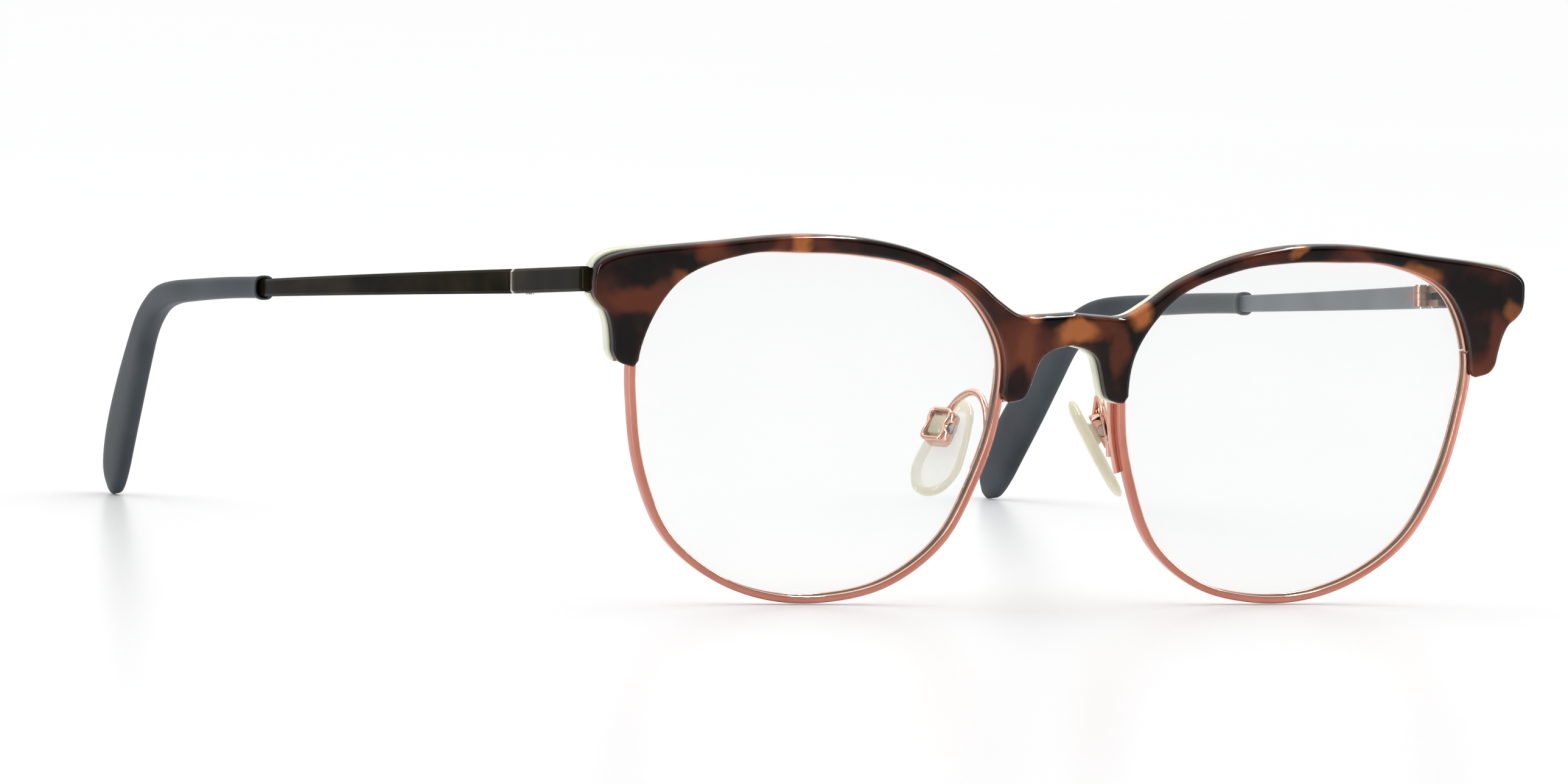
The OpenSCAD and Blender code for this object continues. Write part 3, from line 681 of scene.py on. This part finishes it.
for side, sign in sides.items():
    # end piece: plate inside the brow, bend, then straight back to the hinge
    line = [(strip["plateFrom"], strip["plateFront"], 0), (0.4, strip["plateFront"], 0),
            (1.0, strip["plateFront"], 0)]
    middle = (hinge["face"] - strip["bend"], strip["plateFront"] + strip["bend"])
    for k in range(13):
        a = math.radians(7.5 * k)
        line.append((middle[0] + strip["bend"] * math.sin(a),
                     middle[1] - strip["bend"] * math.cos(a), a))
    for y in (-18, -14, -10, -6, -3, -1, -0.3, -strip["clearance"]):
        line.append((hinge["face"], y, math.pi / 2))
    bm = bmesh.new()
    rings = []
    for i, (x, y, a) in enumerate(line):
        thick = strip["plateThick"] if i < 2 else strip["thick"]
        shrink = strip["endChamfer"] if i == len(line) - 1 else 0
        rings.append([onTemple(x - math.sin(a) * u, y + math.cos(a) * u, v, sign)
                      for u, v in stripProfile(strip["height"], thick, shrink)])
    paintEnd(addLoft(bm, rings, stripPaint, caps=(1, 3)), -1)
    makePiece(side + "EndPieceStrip", "front", side + "_end_piece", bm,
              [stripLacquer, bevelSteel, innerLacquer, hingePlate])

    # temple strip, bowed and narrowing towards the tip
    bm = bmesh.new()
    rings = []
    stations = [strip["clearance"], 0.3, 0.8, 1.6, 3]
    stations += [3 + 2.5 * k for k in range(1, 27)] + [strip["length"] + 0.9]
    for y in stations:
        slope = (bowAt(y + 0.01) - bowAt(y - 0.01)) / 0.02
        turn = math.atan(slope)
        height = strip["height"] - 2 * y * math.tan(math.radians(strip["taper"]))
        shrink = strip["endChamfer"] if y == stations[0] else 0
        rings.append([onTemple(bowAt(y) - math.cos(turn) * u,
                               y + math.sin(turn) * u if y > 1 else y, v, sign)
                      for u, v in stripProfile(height, strip["thick"], shrink)])
    paintEnd(addLoft(bm, rings, stripPaint, caps=(3, 1)), 0)
    makePiece(side + "TempleStrip", side + "_temple", side + "_temple", bm,
              [stripLacquer, bevelSteel, innerLacquer, hingePlate])

    # plastic tip: flared collar, straight sleeve and a broad hook behind the ear
    route = curveThrough([p + [w, t] for p, w, t in zip(tip["route"], tip["width"],
                                                        tip["thick"])], 7)
    rings = []
    for i, (y, z, width, thick) in enumerate(route):
        before, after = route[max(i - 1, 0)], route[min(i + 1, len(route) - 1)]
        reach = math.hypot(after[0] - before[0], after[1] - before[1])
        along = [(after[0] - before[0]) / reach, (after[1] - before[1]) / reach]
        rings.append([])
        for k in range(tip["sides"]):
            turn = 2 * math.pi * k / tip["sides"]
            c, s = math.cos(turn), math.sin(turn)
            out = math.copysign(abs(c) ** tip["square"], c) * thick / 2
            up = math.copysign(abs(s) ** tip["square"], s) * width / 2
            rings[-1].append((tipAt(y) - strip["thick"] / 2 + out,
                              y - along[1] * up, z + along[0] * up))
    # the collar's mouth: a rolled edge, then a recess round the strip
    mouth = rings[0]
    centre = [sum(p[k] for p in mouth) / len(mouth) for k in range(3)]

    def shrunk(scale, y):
        return [(centre[0] + scale * (p[0] - centre[0]), y,
                 centre[2] + scale * (p[2] - centre[2])) for p in mouth]

    rings = [shrunk(scale, strip["length"] + depth) for scale, depth in (
        (0.6, 1.1), (0.68, 0.5), (0.78, 0.1), (0.86, 0), (0.95, 0.05))] + rings[1:]
    bm = bmesh.new()
    loops = addLoft(bm, [[onTemple(*p, sign) for p in ring] for ring in rings], caps=(1, 0))
    # the faces between the recess's two innermost rings take the painted shade
    paintedShadeVerts = set(loops[0] + loops[1])
    for face in bm.faces:
        if all(v in paintedShadeVerts for v in face.verts):
            face.material_index = 1
    makePiece(side + "TempleTip", side + "_temple", side + "_temple_tip", bm,
              [slatePlastic, paintedShadeRecess], sharp=50)
print("temples made")

# finishes of the solids that stay
finishes = {
    "rim_lock_upper": roseGold, "rim_lock_lower": roseGold, "rim_lock_screw": screwSteel,
    "arm_screw": screwSteel, "pad_screw": screwSteel,
    "anchor_pins": screwSteel, "front_hinge_leaf": hingePlate, "temple_hinge_leaf": hingePlate,
    "hinge_screw": screwSteel,
}
for side in sides:
    for part, material in finishes.items():
        solid = nodes[side + "_" + part]
        for place in solid.material_slots:
            place.material = material
print("finishes given to the solids that stay")

# floor, lights and camera
studio = {"floorSize": 14, "floorTone": "#f6f6f7", "worldLight": 0.93, "skyPanel": 1.32}
bm = bmesh.new()
bmesh.ops.create_grid(bm, x_segments=1, y_segments=1, size=studio["floorSize"] / 2)
floorMesh = bpy.data.meshes.new("paleFloor")
bm.to_mesh(floorMesh)
bm.free()
floor = bpy.data.objects.new("paleFloor", floorMesh)
floor.location.z = cadBox[0][2] - 0.00002
bpy.context.scene.collection.objects.link(floor)
floorMesh.materials.append(makeCloudy(
    "paleTable", {"IOR": 1.45, "Roughness": 0.28, "Specular IOR Level": 0.35},
    studio["floorTone"], "#f7f7f7", 3))

world = bpy.data.worlds.new("studioLight")
bpy.context.scene.world = world
world.use_nodes = True
tree = world.node_tree
background = tree.nodes["Background"]
direction = addNode(tree, "ShaderNodeTexCoord", {})
# the room is bright above and behind the glasses and dark on the viewer's side
facing = addNode(tree, "ShaderNodeVectorMath", {"operation": "DOT_PRODUCT", 1: (0.05, 0.5, 0.86)},
                 {0: direction.outputs["Generated"]})
shade = addNode(tree, "ShaderNodeValToRGB", {}, {"Fac": facing.outputs["Value"]})
paintRamp(shade, [(0.0, "#1e1e1e"), (0.12, "#5a5a5a"), (0.38, "#e8e8e8"), (0.8, "#ffffff")])
tree.links.new(shade.outputs["Color"], background.inputs["Color"])
background.inputs["Strength"].default_value = studio["worldLight"]


def addSoftbox(name, place, target, size, power, glossOnly=False):
    light = bpy.data.lights.new(name, "AREA")
    light.shape = "RECTANGLE"
    light.size, light.size_y = size
    light.energy = power
    lamp = bpy.data.objects.new(name, light)
    lamp.location = place
    lamp.visible_diffuse = not glossOnly
    lamp.rotation_euler = (Vector(target) - Vector(place)).to_track_quat("-Z", "Y").to_euler()
    bpy.context.scene.collection.objects.link(lamp)


# an even wash from above stands for the large diffusing ceiling
wash = bpy.data.objects.new("ceilingWash", bpy.data.lights.new("ceilingWash", "SUN"))
wash.data.energy, wash.data.angle = studio["skyPanel"], math.radians(120)
bpy.context.scene.collection.objects.link(wash)
# narrow bright strips give the long highlights without lighting the floor
addSoftbox("bevelStrip", (0.35, -0.12, 0.85), (0, -0.07, 0.04), (0.9, 0.06), 16.0, True)
addSoftbox("leftStrip", (-1.0, -0.2, 0.4), (-0.05, -0.05, 0.02), (0.1, 0.8), 9.0, True)
addSoftbox("rightStrip", (0.95, -0.75, 0.35), (0, -0.07, 0.03), (0.1, 0.7), 7.0, True)
addSoftbox("overheadSoftbox", (0, 0.1, 1.0), (0, -0.05, 0), (0.9, 0.5), 0.8)

view = {"target": (-0.03843, -0.07872, 0.02688), "distance": 1.06413, "yaw": -24.60, "rise": 3.805,
        "roll": 2.377, "lens": 195.85}
yaw, rise, roll = (math.radians(view[k]) for k in ("yaw", "rise", "roll"))
back = Vector((math.sin(yaw) * math.cos(rise), -math.cos(yaw) * math.cos(rise), math.sin(rise)))
right = Vector((math.cos(yaw), math.sin(yaw), 0))
up = back.cross(right)
across = right * math.cos(roll) + up * math.sin(roll)
upright = -right * math.sin(roll) + up * math.cos(roll)
camera = bpy.data.objects.new("camera", bpy.data.cameras.new("camera"))
camera.matrix_world = Matrix((across, upright, back)).transposed().to_4x4()
camera.location = Vector(view["target"]) + back * view["distance"]
camera.data.lens = view["lens"]
camera.data.clip_start, camera.data.clip_end = 0.05, 50
bpy.context.scene.collection.objects.link(camera)
bpy.context.scene.camera = camera
bpy.context.scene.view_settings.view_transform = "Standard"
print("studio set")
